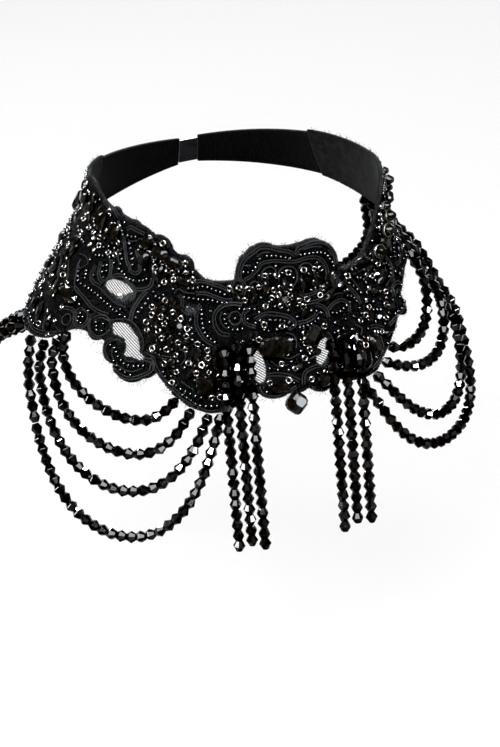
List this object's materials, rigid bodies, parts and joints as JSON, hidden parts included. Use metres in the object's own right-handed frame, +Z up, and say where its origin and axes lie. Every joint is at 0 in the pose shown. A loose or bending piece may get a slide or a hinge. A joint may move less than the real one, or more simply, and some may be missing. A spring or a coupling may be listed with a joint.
{
  "type": "beaded lace choker",
  "caption": "Flared black lace collar sewn with jet stones, with swags and straight drops of bicone beads, closed by a ribbon and clasp at the nape.",
  "frame": {"origin": "on the axis of the neck, level with where the collar leaves the throat: the seat on which the neck carries it", "axes": "+Z up as worn, -Y towards the throat, +X towards the wearer's left"},
  "size_m": [0.1965, 0.1678, 0.1441],
  "materials": {
    "lace": "matt black corded lace",
    "ribbon": "matt black grosgrain ribbon",
    "bead_glass": "opaque black faceted glass, polished",
    "stone_glass": "opaque black faceted glass, polished",
    "clasp": "gunmetal"
  },
  "bodies": {
    "root": {"back_band_left": "ribbon", "back_band_right": "ribbon", "back_swag_1_1": "bead_glass", "back_swag_1_2": "bead_glass", "back_swag_1_3": "bead_glass", "back_swag_1_4": "bead_glass", "back_swag_2_1": "bead_glass", "back_swag_2_2": "bead_glass", "back_swag_2_3": "bead_glass", "back_swag_2_4": "bead_glass", "crest_stone_1": "stone_glass", "crest_stone_2": "stone_glass", "crest_stone_3": "stone_glass", "crest_stone_4": "stone_glass", "crest_stone_5": "stone_glass", "front_oblong_stone": "stone_glass", "hem_drop_stone": "stone_glass", "lace_collar": "lace", "left_drop_1": "bead_glass", "left_drop_2": "bead_glass", "left_drop_3": "bead_glass", "left_swag_1_1": "bead_glass", "left_swag_1_2": "bead_glass", "left_swag_2_1": "bead_glass", "left_swag_2_2": "bead_glass", "left_swag_2_3": "bead_glass", "left_swag_3_1": "bead_glass", "left_swag_3_2": "bead_glass", "left_swag_3_3": "bead_glass", "left_swag_3_4": "bead_glass", "left_swag_4_1": "bead_glass", "left_swag_4_2": "bead_glass", "left_swag_4_3": "bead_glass", "left_swag_4_4": "bead_glass", "left_swag_4_5": "bead_glass", "nape_clasp": "clasp", "right_drop_1": "bead_glass", "right_drop_2": "bead_glass", "right_drop_3": "bead_glass", "right_swag_1_1": "bead_glass", "right_swag_1_2": "bead_glass", "right_swag_2_1": "bead_glass", "right_swag_2_2": "bead_glass", "right_swag_2_3": "bead_glass", "right_swag_3_1": "bead_glass", "right_swag_3_2": "bead_glass", "right_swag_3_3": "bead_glass", "right_swag_3_4": "bead_glass", "right_swag_4_1": "bead_glass", "right_swag_4_2": "bead_glass", "right_swag_4_3": "bead_glass", "right_swag_4_4": "bead_glass", "right_swag_4_5": "bead_glass", "shoulder_stone_1": "stone_glass", "shoulder_stone_2": "stone_glass", "side_navette_stone": "stone_glass", "slanted_stone": "stone_glass", "square_stone": "stone_glass"}
  },
  "joints": []
}
